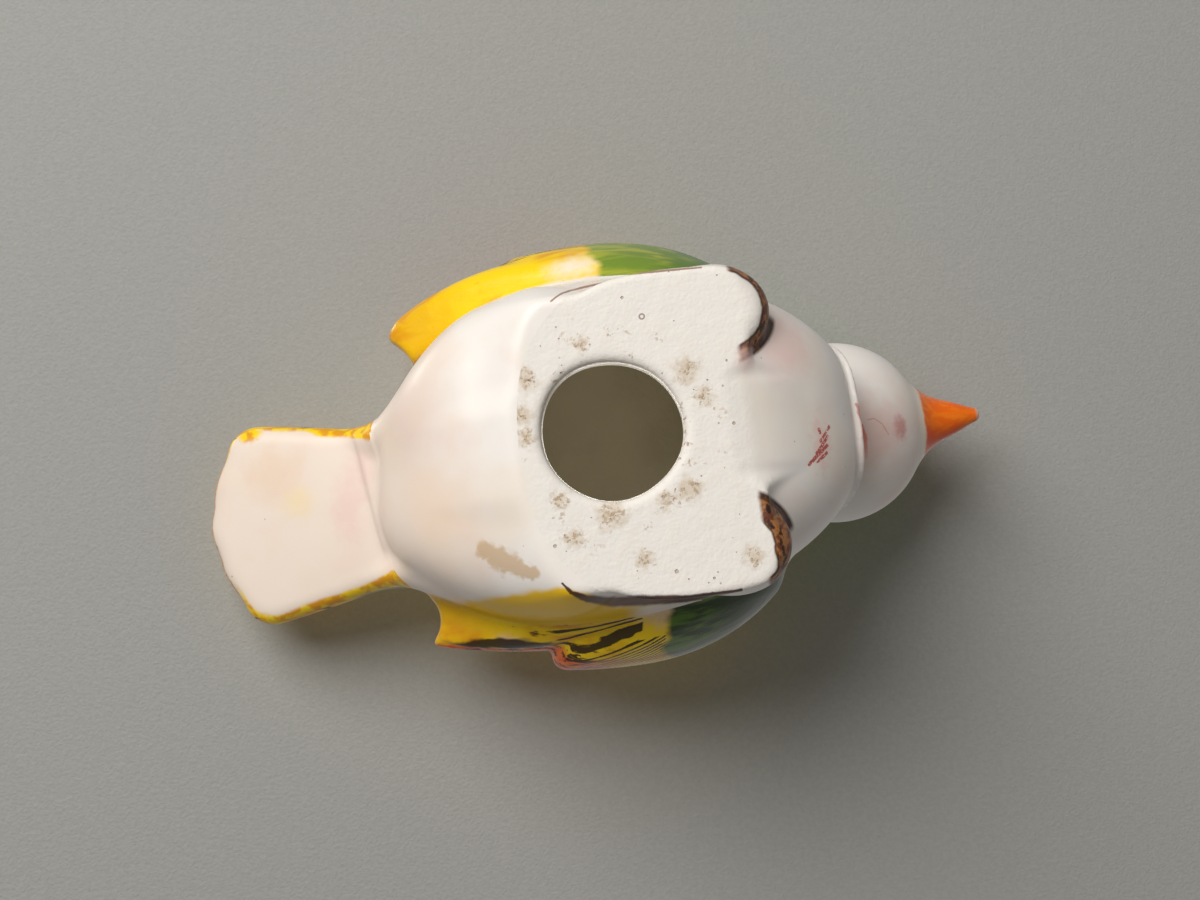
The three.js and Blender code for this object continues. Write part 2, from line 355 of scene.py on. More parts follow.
def bird_field(x, y, z):
    """The whole outer surface."""
    body = body_field(x, y, z)
    tail_fillet = 1.6 + 5.0 * smooth_step(6.0, 10.5, np.abs(y - TAIL_ROOT[1]))
    body = smooth_min(body, tail_field(x, y, z), tail_fillet)
    for side in (1, -1):
        body = smooth_min(body, wing_field(x, y, z, side), 2.0)
    foot_fillet = 1.6 + 9.0 * smooth_step(2.0, -8.0, x) + 6.0 * smooth_step(10.0, 5.0, np.abs(y - PAD_Y))
    body = smooth_min(body, pad_field(x, y, z), foot_fillet)
    offset = seam_offset(x, z)
    body = body - COLLAR_BEAD * bump(offset, -0.65, 0.55) + COLLAR_GROOVE * bump(offset, -1.9, 0.4)
    body = body + COLLAR_STEP * smooth_step(-0.2, 0.5, offset)
    body = smooth_min(body, head_field(x, y, z), 0.8)
    behind = smooth_step(-5.0, -16.0, x)
    between_toes = smooth_step(9.5, 6.0, np.abs(y - PAD_Y)) * smooth_step(14.0, 19.0, x)
    body = smooth_max(body, -z, 0.7 + 8.0 * behind + 4.5 * between_toes)
    vent = np.maximum(vent_field(x, y), z - PAD_THICKNESS - 4.0)
    return smooth_max(body, -vent, 1.5)


def lining_field(x, y, z):
    """The inside of the hollow body."""
    return smooth_max(egg_body(x, y, z) + WALL, PAD_THICKNESS + 0.4 - z, 1.0)


# ---- Surface extraction ----
CORNERS = np.array([(i, j, k) for i in (0, 1) for j in (0, 1) for k in (0, 1)])
CELL_EDGES = [(a, b) for a in range(8) for b in range(a + 1, 8) if np.abs(CORNERS[a] - CORNERS[b]).sum() == 1]


def sample_grid(field, low, high, cell):
    """The field on a regular grid, one slice of x at a time to save memory."""
    counts = np.ceil((high - low) / cell).astype(int) + 1
    xs, ys, zs = (low[i] + cell * np.arange(counts[i]) for i in range(3))
    y, z = np.meshgrid(ys, zs, indexing="ij")
    slabs = []
    for start in range(0, counts[0], 8):
        x = xs[start : start + 8][:, None, None]
        shape = (x.shape[0],) + y.shape
        parts = (np.broadcast_to(v, shape).astype(np.float32) for v in (x, y[None], z[None]))
        slabs.append(field(*parts))
    return np.concatenate(slabs)


def net_points(values, cells):
    """One point a cell: the mean of where the surface crosses the cell's edges."""
    corner_values = np.stack([values[tuple((cells + c).T)] for c in CORNERS], axis=1)
    total = np.zeros((len(cells), 3))
    hits = np.zeros(len(cells))
    for a, b in CELL_EDGES:
        va, vb = corner_values[:, a], corner_values[:, b]
        crossed = (va < 0) != (vb < 0)
        t = np.where(crossed, va / np.where(crossed, va - vb, 1), 0)
        point = CORNERS[a] + t[:, None] * (CORNERS[b] - CORNERS[a])
        total += np.where(crossed[:, None], point, 0)
        hits += crossed
    return cells + total / hits[:, None]


def net_quads(inside, index):
    """A quad across each grid edge that the surface crosses, facing out."""
    quads = []
    for axis in range(3):
        u, v = (axis + 1) % 3, (axis + 2) % 3
        step_u, step_v = np.eye(3, dtype=int)[u], np.eye(3, dtype=int)[v]
        first = np.take(inside, range(inside.shape[axis] - 1), axis)
        second = np.take(inside, range(1, inside.shape[axis]), axis)
        edges = np.argwhere(first != second)
        outward = first[tuple(edges.T)]
        around = (edges, edges - step_u, edges - step_u - step_v, edges - step_v)
        quad = np.stack([index[tuple(c.T)] for c in around], axis=1)
        quads.append(np.where(outward[:, None], quad, quad[:, ::-1]))
    return np.concatenate(quads)


def gradient(field, points, step=0.02):
    """The field and its slope at each point, from four samples around it."""
    directions = np.array([(1, -1, -1), (-1, -1, 1), (-1, 1, -1), (1, 1, 1)])
    samples = [field(*(points + step * d).T) for d in directions]
    slope = sum(d * s[:, None] for d, s in zip(directions, samples)) / (4 * step)
    return sum(samples) / 4, slope


def settle(field, points, cell, passes=3):
    """Moves points along the slope onto the surface."""
    for _ in range(passes):
        value, slope = gradient(field, points)
        size = (slope**2).sum(1) + 1e-9
        move = np.clip(value / np.sqrt(size), -0.5 * cell, 0.5 * cell) / np.sqrt(size)
        points = points - slope * move[:, None]
    return points


def relax(points, quads):
    """Moves each point halfway to the middle of its neighbours."""
    total = np.zeros_like(points)
    count = np.zeros(len(points))
    for a, b in ((0, 1), (1, 2), (2, 3), (3, 0), (1, 0), (2, 1), (3, 2), (0, 3)):
        for axis in range(3):
            total[:, axis] += np.bincount(quads[:, a], points[quads[:, b], axis], len(points))
        count += np.bincount(quads[:, a], minlength=len(points))
    return 0.5 * points + 0.5 * total / np.maximum(count, 1)[:, None]


def extract(field, low, high, cell):
    values = sample_grid(field, low, high, cell)
    inside = values < 0
    spans = [slice(0, n - 1) for n in values.shape]
    mixed = np.zeros([n - 1 for n in values.shape], int)
    for corner in CORNERS:
        mixed += inside[tuple(slice(s.start + c, s.stop + c) for s, c in zip(spans, corner))]
    mixed = (mixed > 0) & (mixed < 8)
    index = np.full(values.shape, -1)
    cells = np.argwhere(mixed)
    index[tuple(cells.T)] = np.arange(len(cells))
    points = low + cell * net_points(values, cells)
    quads = net_quads(inside, index)
    points = settle(field, points, cell)
    for _ in range(RELAX_PASSES):
        points = settle(field, relax(points, quads), cell, 1)
    return settle(field, points, cell, 2), quads


# ---- Pieces: where one casting ends and the next begins ----
def pad_region(x, y, z):
    edge = np.minimum(pad_outline(x, y), toe_field(x, y, np.zeros_like(z) + TOE_LIFT)) - 0.6
    return np.maximum(edge, z - PAD_THICKNESS - 0.6)


def beak_region(x, y, z):
    return BEAK_LOW[0] + 0.2 - x


def head_region(x, y, z):
    return -seam_offset(x, z)


def tail_region(x, y, z):
    return np.maximum(tail_field(x, y, z) - body_field(x, y, z), x - TAIL_FRONT)


def wing_region(side):
    """Where a wing stands proud of the body."""
    return lambda x, y, z: np.maximum(wing_field(x, y, z, side) - body_field(x, y, z), WING_INNER - side * y)


REGIONS = {
    "foot_pad": pad_region,
    "beak": beak_region,
    "head_shell": head_region,
    "tail": tail_region,
    "wing_left": wing_region(1),
    "wing_right": wing_region(-1),
}
NODES = list(REGIONS) + ["body_shell"]


def label_faces(points, quads):
    centres = points[quads].mean(1)
    labels = np.full(len(quads), len(REGIONS))
    for number, region in reversed(list(enumerate(REGIONS.values()))):
        labels[region(*centres.T) < 0] = number
    return labels


def quad_normals(points, quads):
    a, b, c, d = (points[quads[:, corner]] for corner in range(4))
    return np.cross(c - a, d - b)


def unfold(points, before, quads):
    """Draws back the corners of any quad that the sliding folded or squashed."""
    old = quad_normals(before, quads)
    size = (old**2).sum(1)
    for _ in range(6):
        folded = (quad_normals(points, quads) * old).sum(1) < 0.35 * size
        corners = np.unique(quads[folded])
        points[corners] = 0.5 * (points[corners] + before[corners])
    return points


def slide_seams(points, quads, labels):
    """Moves the points between two pieces onto the line where their regions meet."""
    before = points.copy()
    lowest = np.full(len(points), 99)
    highest = np.full(len(points), -1)
    for corner in range(4):
        np.minimum.at(lowest, quads[:, corner], labels)
        np.maximum.at(highest, quads[:, corner], labels)
    for number, region in enumerate(REGIONS.values()):
        chosen = (lowest == number) & (highest > number)
        moved = points[chosen]
        for _ in range(4):
            value, slope = gradient(region, moved)
            _, normal = gradient(bird_field, moved)
            normal /= np.linalg.norm(normal, axis=1)[:, None] + 1e-9
            slope = slope - normal * (slope * normal).sum(1)[:, None]
            size = (slope**2).sum(1) + 0.05
            step = slope * (value / size)[:, None]
            length = np.linalg.norm(step, axis=1)[:, None] + 1e-9
            moved = moved - step * np.minimum(1, 0.4 * CELL / length)
            moved = settle(bird_field, moved, CELL, 1)
        points[chosen] = moved
    return unfold(points, before, quads)


def make_mesh(name, points, quads, fields):
    used, local = np.unique(quads, return_inverse=True)
    mesh = bpy.data.meshes.new(name)
    mesh.from_pydata((points[used] * MM).tolist(), [], local.reshape(quads.shape).tolist())
    for key, values in fields.items():
        layer = mesh.attributes.new(key, "FLOAT", "POINT")
        layer.data.foreach_set("value", values[used].astype(np.float32))
    mesh.polygons.foreach_set("use_smooth", [True] * len(mesh.polygons))
    mesh.update()
    piece = bpy.data.objects.new(name, mesh)
    bpy.context.scene.collection.objects.link(piece)
    return piece


def thicken(piece, wall):
    """Gives the sheet its wall, inwards, with a crisp rim that stays hidden in the joint."""
    mesh = piece.data
    edges = np.zeros(len(mesh.loops), int)
    mesh.loops.foreach_get("edge_index", edges)
    faces_on_edge = np.bincount(edges, minlength=len(mesh.edges))
    mesh.edges.foreach_set("use_edge_sharp", (faces_on_edge == 1).tolist())
    solid = piece.modifiers.new("wall", "SOLIDIFY")
    solid.thickness = wall * MM
    solid.offset = -1
    bpy.context.view_layer.objects.active = piece
    bpy.ops.object.modifier_apply(modifier=solid.name)


# ---- Colours ----
def tint(red, green, blue):
    """A colour as the eye sees it, 0 to 1 a channel, in the shader's linear light."""
    return tuple(((c + 0.055) / 1.055) ** 2.4 if c > 0.04 else c / 12.92 for c in (red, green, blue)) + (1.0,)


WHITE = tint(0.96, 0.94, 0.915)
CREAM = tint(0.945, 0.895, 0.82)
PEACH = tint(0.93, 0.81, 0.70)
PINK = tint(0.93, 0.78, 0.75)
RED = tint(0.72, 0.20, 0.18)
YELLOW = tint(0.99, 0.84, 0.04)
OCHRE = tint(0.90, 0.62, 0.03)
ORANGE = tint(0.95, 0.42, 0.03)
DEEP_ORANGE = tint(0.90, 0.26, 0.02)
GREEN = tint(0.36, 0.50, 0.16)
LIME = tint(0.66, 0.69, 0.22)
LEAF = tint(0.46, 0.57, 0.19)
DARK_GREEN = tint(0.16, 0.24, 0.08)
BROWN = tint(0.42, 0.22, 0.12)
GOLD_BROWN = tint(0.66, 0.44, 0.24)
DARK = tint(0.12, 0.05, 0.035)
INK_BROWN = tint(0.25, 0.10, 0.07)
OCHRE_SMEAR = tint(0.80, 0.66, 0.47)
BISQUE = tint(0.945, 0.925, 0.895)
STAIN = tint(0.70, 0.57, 0.42)
SOFT_STAIN = tint(0.80, 0.72, 0.60)
LINING_PAINTED_SHADE = tint(0.60, 0.56, 0.45)


# ---- Paint: builds one material's nodes ----
class Value:
    """A number or vector in the shader, added and multiplied like any other number."""

    def __init__(self, paint, socket):
        self.paint, self.socket = paint, socket

    def __add__(self, other):
        return self.paint.math("ADD", self, other)

    def __sub__(self, other):
        return self.paint.math("SUBTRACT", self, other)

    def __rsub__(self, other):
        return self.paint.math("SUBTRACT", other, self)

    def __mul__(self, other):
        return self.paint.math("MULTIPLY", self, other)

    def __truediv__(self, other):
        return self.paint.math("DIVIDE", self, other)

    def __abs__(self):
        return self.paint.math("ABSOLUTE", self)

    __radd__, __rmul__ = __add__, __mul__


class Paint:
    """Layers of paint on one piece, placed in millimetres in the frame's own axes."""

    def __init__(self, name):
        self.material = bpy.data.materials.new(name)
        self.material.use_nodes = True
        self.nodes = self.material.node_tree.nodes
        self.links = self.material.node_tree.links
        self.shader = self.nodes["Principled BSDF"]
        self.place = self.vector("SCALE", self.node("TexCoord")["Object"], scale=1 / MM)
        self.x, self.y, self.z = (Value(self, socket) for socket in self.node("SeparateXYZ", {0: self.place}))

    def put(self, value, socket):
        """Links a value to an input, or sets the input to a plain number or colour."""
        if isinstance(value, Value):
            value = value.socket
        if isinstance(value, bpy.types.NodeSocket):
            self.links.new(value, socket)
        else:
            socket.default_value = value

    def node(self, kind, inputs=None, **settings):
        """The outputs of a new node, set up and with its inputs fed by name or number."""
        node = self.nodes.new("ShaderNode" + kind)
        for name, setting in settings.items():
            setattr(node, name, setting)
        for key, value in (inputs or {}).items():
            self.put(value, node.inputs[key])
        return node.outputs

    def math(self, operation, *values):
        return Value(self, self.node("Math", dict(enumerate(values)), operation=operation)[0])

    def most(self, a, b):
        return self.math("MAXIMUM", a, b)

    def least(self, a, b):
        return self.math("MINIMUM", a, b)

    def vector(self, operation, *values, scale=None):
        inputs = dict(enumerate(values))
        if scale is not None:
            inputs["Scale"] = scale
        outputs = self.node("VectorMath", inputs, operation=operation)
        plain = operation in ("LENGTH", "DISTANCE", "DOT_PRODUCT")
        return Value(self, outputs["Value" if plain else "Vector"])

    def field(self, name):
        """A value in millimetres that the mesh carries at each point."""
        return Value(self, self.node("Attribute", attribute_name=name)["Fac"])

    def noise(self, size, detail=2.0, stretch=(1, 1, 1), shift=0.0):
        """Soft noise about size millimetres across, longer along an axis with a small stretch number."""
        moved = self.vector("MULTIPLY_ADD", self.place, stretch, (shift, 0.7 * shift, -shift))
        inputs = {"Scale": 1 / size, "Detail": detail, "Vector": moved}
        return Value(self, self.node("TexNoise", inputs)["Fac"])

    def step(self, value, low, high):
        """0 before low and 1 after high, or the other way round when high is the smaller."""
        inputs = {0: value, 1: low, 2: high}
        return Value(self, self.node("MapRange", inputs, interpolation_type="SMOOTHSTEP")[0])

    def shaken(self, value, amount, size=2.0, shift=0.0, stretch=(1, 1, 1), detail=2.0):
        """A value with its border made uneven by up to about amount millimetres."""
        wobble = self.noise(size, detail, stretch, shift) - 0.5
        return wobble * (3 * amount) + value

    def mix(self, amount, first, second):
        return Value(self, self.node("Mix", {0: amount, 6: first, 7: second}, data_type="RGBA")[2])

    def spot(self, centre, radius, soft, ragged=0.5, flatten=(1, 1, 1)):
        """A daub of paint round a point: 1 inside."""
        offset = self.vector("MULTIPLY", self.vector("SUBTRACT", self.place, centre), flatten)
        distance = self.shaken(self.vector("LENGTH", offset), ragged, 0.5 * radius + 0.4, centre[0])
        return self.step(distance, radius + soft, radius - soft)

    def line(self, start, end, width, end_width=None, ragged=0.12):
        """One stroke between two points: 1 on it. Points given as x and y only mark it at every height."""
        flat = len(start) == 2
        start, end = Vector(start).to_3d(), Vector(end).to_3d()
        along = end - start
        offset = self.vector("SUBTRACT", self.place, tuple(start))
        if flat:
            offset = self.vector("MULTIPLY", offset, (1, 1, 0))
        t = self.vector("DOT_PRODUCT", offset, tuple(along / along.length_squared))
        t = self.least(self.most(t, 0.0), 1.0)
        nearest = self.vector("SCALE", tuple(along), scale=t)
        distance = self.shaken(self.vector("DISTANCE", offset, nearest), ragged, 1.2, start[0], detail=3.0)
        change = (end_width or width) - width
        local = t * change + width
        return self.step(distance / local, 1.0, 0.45)

    def path(self, points, widths, ragged=0.12):
        """A brush line through points, with a half width at each."""
        total = 0.0
        for start, end, width, end_width in zip(points, points[1:], widths, widths[1:]):
            total = self.most(total, self.line(start, end, width, end_width, ragged))
        return total

    def hatch(self, strokes, width):
        total = 0.0
        for start, end in strokes:
            total = self.most(total, self.line(start, end, width))
        return total

    def dots(self, spacing, radius, share, shift=0.0):
        """Scattered specks of uneven size: 1 on one."""
        moved = self.vector("ADD", self.place, (shift, shift, shift))
        cells = self.node("TexVoronoi", {"Scale": 1 / spacing, "Vector": moved})
        pick, growth, _ = (Value(self, socket) for socket in self.node("SeparateColor", {0: cells["Color"]}))
        chosen = self.step(pick, 1 - share, 1.001 - share)
        distance = self.shaken(Value(self, cells["Distance"]) * spacing, 0.3 * radius, radius, shift)
        size = growth * radius + 0.5 * radius
        inside = self.step(distance - size, 0.25 * radius, -0.25 * radius)
        return chosen * inside

    def finish(self, colour, roughness, height):
        """The coat over the paint: its shine, and its relief as a height in millimetres."""
        self.put(colour, self.shader.inputs["Base Color"])
        self.put(roughness, self.shader.inputs["Roughness"])
        relief = self.node("Bump", {"Distance": MM, "Height": height})[0]
        self.put(relief, self.shader.inputs["Normal"])
        return self.material


def clay(paint, blush=0.24):
    """The warm white under the paint, with faint cream and pink clouds."""
    cloud = paint.step(paint.noise(13, 2), 0.42, 0.72)
    colour = paint.mix(cloud * 0.55, WHITE, CREAM)
    flush = paint.step(paint.noise(9, 3, shift=31), 0.48, 0.75)
    return paint.mix(flush * blush, colour, PINK)


def specks(paint, colour):
    """Tiny iron spots and grit in the glaze, and where they are."""
    marks = paint.most(paint.dots(5.5, 0.16, 0.45, 3.0), paint.dots(3.1, 0.09, 0.4, 11.0))
    return paint.mix(marks * 0.75, colour, STAIN), marks


def glaze(paint, colour, marks=0.0, relief=0.0, rough=0.32):
    """Fired glaze: slow waves, a fine ripple, sunk specks, and softly varying shine."""
    waves = paint.noise(7.0, 1) * 0.1
    ripple = paint.noise(0.8, 2, shift=5) * 0.01
    height = waves + ripple + marks * -0.05 + relief
    shine = paint.noise(5.0, 3, shift=17) * 0.14 + rough + marks * 0.3
    return paint.finish(colour, shine, height)


# ---- One material per piece ----
RIGHT_LINE = ((-3.9, -19.0), (-2.2, -20.2), (0.2, -21.1), (3.6, -21.6), (9.7, -21.2), (16.5, -20.9))
RIGHT_LINE_WIDTHS = (0.12, 0.24, 0.30, 0.32, 0.27, 0.18)
LEFT_LINE = ((-7.2, 18.3), (-6.2, 19.6), (-4.2, 20.7), (-1.2, 21.4), (3.0, 21.8), (9.0, 22.3), (16.0, 22.2))
LEFT_LINE_WIDTHS = (0.18, 0.40, 0.62, 0.82, 0.85, 0.50, 0.22)


def foot_marks(paint, colour):
    """The brown rim round each toe, and the brown lines down both sides of the foot."""
    toe = paint.field("toe")
    left = paint.step(paint.y, 0.0, 1.0)
    front = paint.step(paint.shaken(paint.x, 0.2), 19.6, 20.3)
    low = paint.step(paint.z, 7.5, 6.0)
    thin_end = paint.step(paint.y, 17.0, 20.5)
    lip = thin_end * 1.6 + left * -1.45 - 1.05
    lip = paint.shaken(lip, 0.25, 2.5, 9.0)
    inner = toe - lip
    band = paint.step(inner, -0.2, 0.12) * paint.step(toe, 1.3, 0.7) * front * low
    mottle = paint.step(paint.noise(0.9, 3, shift=4), 0.40, 0.62)
    rim_colour = paint.mix(mottle, GOLD_BROWN, BROWN)
    outline = paint.most(paint.step(inner, 0.38, 0.1), paint.step(toe, -0.15, 0.15))
    streak = paint.step(paint.noise(1.0, 3, (0.8, 0.5, 1), 12.0), 0.54, 0.59)
    outline = paint.most(outline * 0.9, streak)
    rim_colour = paint.mix(outline * 0.85, rim_colour, DARK)
    colour = paint.mix(band, colour, rim_colour)
    near_foot = paint.step(paint.z, 14.0, 12.0)
    right_line = paint.path(RIGHT_LINE, RIGHT_LINE_WIDTHS, 0.06) * near_foot
    colour = paint.mix(right_line * 0.8, colour, paint.mix(0.6, GOLD_BROWN, BROWN))
    left_line = paint.path(LEFT_LINE, LEFT_LINE_WIDTHS, 0.1) * near_foot
    two_tone = paint.step(paint.noise(1.8, 2, (0.2, 1, 1), 2.0), 0.50, 0.60)
    ink = paint.mix(two_tone * 0.7, INK_BROWN, BROWN)
    return paint.mix(left_line * 0.95, colour, ink)


OCHRE_PATH = ((-17.0, 12.6), (-14.2, 14.5), (-11.0, 16.4))


def ochre_smear(paint, colour):
    """A dab of ochre slip wiped across the edge of the foot behind the vent."""
    near_foot = paint.step(paint.z, 9.0, 7.0)
    smear = paint.path(OCHRE_PATH, (1.5, 1.9, 1.3), 0.8) * near_foot
    return paint.mix(smear * 0.7, colour, OCHRE_SMEAR)


CHEST_SCRATCHES = (  # start and end of each red hatch on the chest
    ((31.2, 1.7, 8.3), (29.6, 3.6, 6.9)),
    ((30.8, 3.0, 7.9), (28.9, 5.2, 6.2)),
    ((30.6, 4.2, 7.7), (28.4, 5.9, 5.9)),
    ((29.7, 4.9, 6.9), (27.6, 6.6, 5.3)),
    ((30.4, 5.2, 7.6), (28.9, 6.4, 6.2)),
    ((29.6, 2.0, 6.8), (29.7, 2.4, 6.9)),
)


BODY_CLOUDS = (  # colour, strength, middle, radius and softness of each faint cloud on the belly
    (PEACH, 0.30, (-21.0, 8.0, 3.0), 7.0, 5.0),
    (PINK, 0.22, (-26.0, -6.0, 6.0), 5.5, 4.0),
    (PINK, 0.50, (26.5, -9.5, 5.5), 4.0, 3.0),
)


def body_material():
    paint = Paint("body_glaze")
    colour = clay(paint)
    rear = paint.step(paint.shaken(paint.x, 5.0, 8.0, 3.0), -14.0, -24.0)
    colour = paint.mix(rear * 0.42, colour, PEACH)
    for shade, strength, centre, radius, soft in BODY_CLOUDS:
        colour = paint.mix(paint.spot(centre, radius, soft, 1.5) * strength, colour, shade)
    colour = ochre_smear(paint, colour)
    flush = paint.spot((29.6, 4.2, 7.0), 1.4, 1.0, 0.9, (0.8, 0.45, 1))
    colour = paint.mix(flush * 0.6, colour, PINK)
    dry = paint.step(paint.noise(0.3, 2, shift=8), 0.34, 0.46)
    colour = paint.mix(paint.hatch(CHEST_SCRATCHES, 0.34) * dry * 0.9, colour, RED)
    colour = paint.mix(yellow_spill(paint), colour, paint.mix(0.35, YELLOW, OCHRE))
    colour = crown_and_back(paint, colour, paint.shaken(paint.z, 2.4, 5.0, 13.0), 35.5)
    colour = foot_marks(paint, colour)
    colour = neck_marks(paint, colour)
    colour, marks = specks(paint, colour)
    return glaze(paint, colour, marks)


def yellow_spill(paint):
    """The wings' yellow where it runs onto the body beside the left wing, out to the brown foot line."""
    rise = paint.least(paint.most(paint.x + 7.0, 0.0), 6.5)
    beyond = paint.y - (rise * 0.5 + 18.2)
    beyond = paint.step(paint.shaken(beyond, 0.3, 2.5, 7.0), 0.0, 1.0)
    behind_green = paint.step(paint.x, 4.0, 0.0)
    spill = beyond * behind_green * paint.step(paint.x, -26.0, -24.0) * paint.step(paint.z, 24.0, 22.0)
    beside_wing = yellow_border(paint) * behind_green * paint.step(paint.y, 12.0, 14.0)
    return paint.most(spill, beside_wing)


THROAT_STREAK = ((36.0, -1.6), (36.4, -0.4), (36.8, 0.8), (37.1, 1.8))
THROAT_SPILL = ((37.8, 0.6), (38.0, 2.6), (38.0, 5.0))


def neck_marks(paint, colour):
    """Red and orange caught along the collar, a pink haze on the throat, and a darker band along the seam."""
    low = paint.step(paint.z, 29.0, 27.0)
    at_collar = paint.step(paint.z, 21.5, 20.0)
    haze = paint.spot((39.0, 1.8, 24.0), 3.6, 2.8, 1.4, (1, 0.75, 0.3))
    colour = paint.mix(haze * 0.55, colour, tint(0.93, 0.74, 0.68))
    streak = paint.path(THROAT_STREAK, (0.20, 0.45, 0.50, 0.25), 0.35)
    colour = paint.mix(streak * at_collar * 0.6, colour, RED)
    spill = paint.path(THROAT_SPILL, (0.34, 0.50, 0.36), 0.22)
    colour = paint.mix(spill * low * 0.8, colour, DEEP_ORANGE)
    seam = paint.field("seam")
    # The collar's step is painted darker in a thin band.
    seam_darkening = paint.step(abs(seam - 0.45), 0.42, 0.12)
    return paint.mix(seam_darkening * 0.4, colour, STAIN)


def crown_and_back(paint, colour, height, start):
    """Green laid on in long strokes over the back and the crown."""
    streaks = paint.noise(1.1, 3, (0.16, 1, 1), 6.0)
    paintwork = paint.mix(paint.step(streaks, 0.40, 0.60), GREEN, LIME)
    dark = paint.step(paint.noise(1.6, 3, (0.12, 1, 1), 19.0), 0.56, 0.66)
    paintwork = paint.mix(dark, paintwork, DARK_GREEN)
    cover = paint.step(streaks * 3.0 + height, start + 1.2, start + 2.8)
    return paint.mix(cover, colour, paintwork)


FOOT_STAINS = (  # middle and size of each stain left round the vent
    ((-8.7, -9.0, 0.0), 1.1),
    ((-9.7, -4.4, 0.0), 1.0),
    ((-9.6, -1.6, 0.0), 0.9),
    ((-6.1, 7.4, 0.0), 0.8),
    ((0.4, 10.2, 0.0), 1.4),
    ((7.8, 9.2, 0.0), 0.8),
    ((11.2, 8.2, 0.0), 1.1),
    ((12.7, -7.4, 0.0), 1.2),
    ((14.4, -3.8, 0.0), 0.9),
    ((-0.8, -12.9, 0.0), 0.7),
    ((-5.0, 12.5, 0.0), 0.9),
    ((4.0, 16.6, 0.0), 0.8),
    ((18.2, 18.0, 0.0), 1.0),
)


RING_MARK = (7.8, -15.4, 0.0)  # a tiny burst bubble with a brown rim


def foot_material():
    """Bare clay where the foot was ground flat, with pits and old glue stains, glazed up its sides."""
    paint = Paint("foot_bisque")
    ground = paint.step(paint.z, 1.2, 0.05) * paint.step(paint.x, -13.0, -7.0)
    colour = paint.mix(ground, clay(paint, 0.2), BISQUE)
    grain = paint.noise(1.7, 4, shift=40)
    colour = paint.mix(paint.step(grain, 0.5, 0.68) * 0.16, colour, CREAM)
    patchy = paint.step(paint.noise(4.5, 2, shift=23), 0.56, 0.64)
    near = paint.step(paint.field("vent"), 9.0, 2.0)
    crumbs = paint.step(paint.noise(0.55, 4, shift=29), 0.54, 0.64)
    stain = patchy * near * crumbs
    tan = 0.0
    for centre, size in FOOT_STAINS:
        daub = paint.spot(centre, size, 0.7 * size, 1.3)
        dry = paint.step(paint.noise(0.5, 4, shift=centre[0]), 0.46, 0.60)
        stain = paint.most(stain, daub * dry)
        tan = paint.most(tan, paint.spot(centre, 1.2 * size, 0.9 * size, 1.2))
    colour = paint.mix(tan * 0.6, colour, SOFT_STAIN)
    colour = paint.mix(stain * 0.7, colour, STAIN)
    grit = stain * paint.step(paint.noise(0.35, 2, shift=51), 0.58, 0.64)
    colour = paint.mix(grit * 0.6, colour, BROWN)
    pits = paint.most(paint.dots(2.6, 0.17, 0.35, 2.0), paint.dots(1.3, 0.09, 0.25, 6.0)) * ground
    colour = paint.mix(pits * 0.65, colour, STAIN)
    ring = abs(paint.vector("DISTANCE", paint.place, RING_MARK) - 0.33)
    colour = paint.mix(paint.step(ring, 0.16, 0.06) * 0.7, colour, BROWN)
    colour = ochre_smear(paint, colour)
    colour = foot_marks(paint, colour)
    blush = paint.spot((20.6, -8.2, 1.0), 1.5, 1.0, 0.5)
    colour = paint.mix(blush * 0.6, colour, PINK)
    height = grain * 0.12 + paint.noise(0.5, 3, shift=12) * 0.05
    height = paint.noise(7.0, 1) * 0.1 + height * ground
    height = height + pits * -0.14 + stain * 0.04
    return paint.finish(colour, ground * 0.22 + 0.36, height)


THROAT_HAIR = ((38.8, -0.2), (39.8, -0.3), (40.9, 0.6), (41.7, 2.2), (42.6, 4.3))


def head_material():
    paint = Paint("head_glaze")
    colour = clay(paint, 0.3)
    rose = paint.spot((43.6, 1.3, 30.4), 1.0, 0.7, 0.5, (1, 0.7, 0.6))
    colour = paint.mix(rose * 0.8, colour, RED)
    rose = paint.spot((43.2, 1.0, 30.0), 3.0, 2.2, 0.8, (1, 1, 0.6))
    colour = paint.mix(rose * 0.45, colour, PINK)
    hair = paint.path(THROAT_HAIR, (0.13, 0.13, 0.12, 0.10), 0.05)
    colour = paint.mix(hair * 0.6, colour, GOLD_BROWN)
    colour = crown_and_back(paint, colour, paint.shaken(paint.z, 1.2, 4.0, 13.0), 43.8)
    colour = neck_marks(paint, colour)
    eye = paint.step(paint.field("eye"), EYE_RADIUS + 0.05, EYE_RADIUS - 0.1)
    colour, marks = specks(paint, colour)
    colour = paint.mix(eye, colour, tint(0.03, 0.025, 0.025))
    colour, relief = beak_paint(paint, colour)
    return glaze(paint, colour, marks, relief)


BEAK_PAINT = -1.9  # where the orange starts, behind the beak's own casting line


